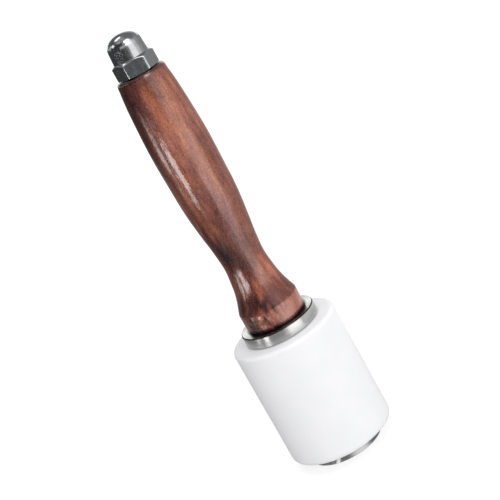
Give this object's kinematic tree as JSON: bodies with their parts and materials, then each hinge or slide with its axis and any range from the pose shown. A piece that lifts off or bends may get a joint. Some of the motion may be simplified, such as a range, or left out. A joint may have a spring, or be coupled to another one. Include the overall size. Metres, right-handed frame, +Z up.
{
  "type": "nylon-headed mallet",
  "caption": "Hand mallet with a cylindrical nylon head between two steel discs and a turned wooden handle, clamped on one long rod under a domed cap nut.",
  "frame": {"origin": "centre of the base plate's underside, where the mallet stands", "axes": "+Z up the rod from the base plate through the head and handle to the cap nut; one flat of the cap nut faces -Y"},
  "size_m": [0.0494, 0.0494, 0.2104],
  "materials": {
    "plate_steel": "turned and polished stainless steel",
    "nylon": "white machined nylon with a soft sheen",
    "stained_wood": "red-brown stain under gloss lacquer",
    "nut_chrome": "polished dark chrome",
    "rod_steel": "plain rolled steel"
  },
  "bodies": {
    "root": {"base_plate": "plate_steel", "nylon_head": "nylon", "collar_plate": "plate_steel", "handle": "stained_wood", "cap_nut": "nut_chrome", "tie_rod": "rod_steel"}
  },
  "joints": []
}
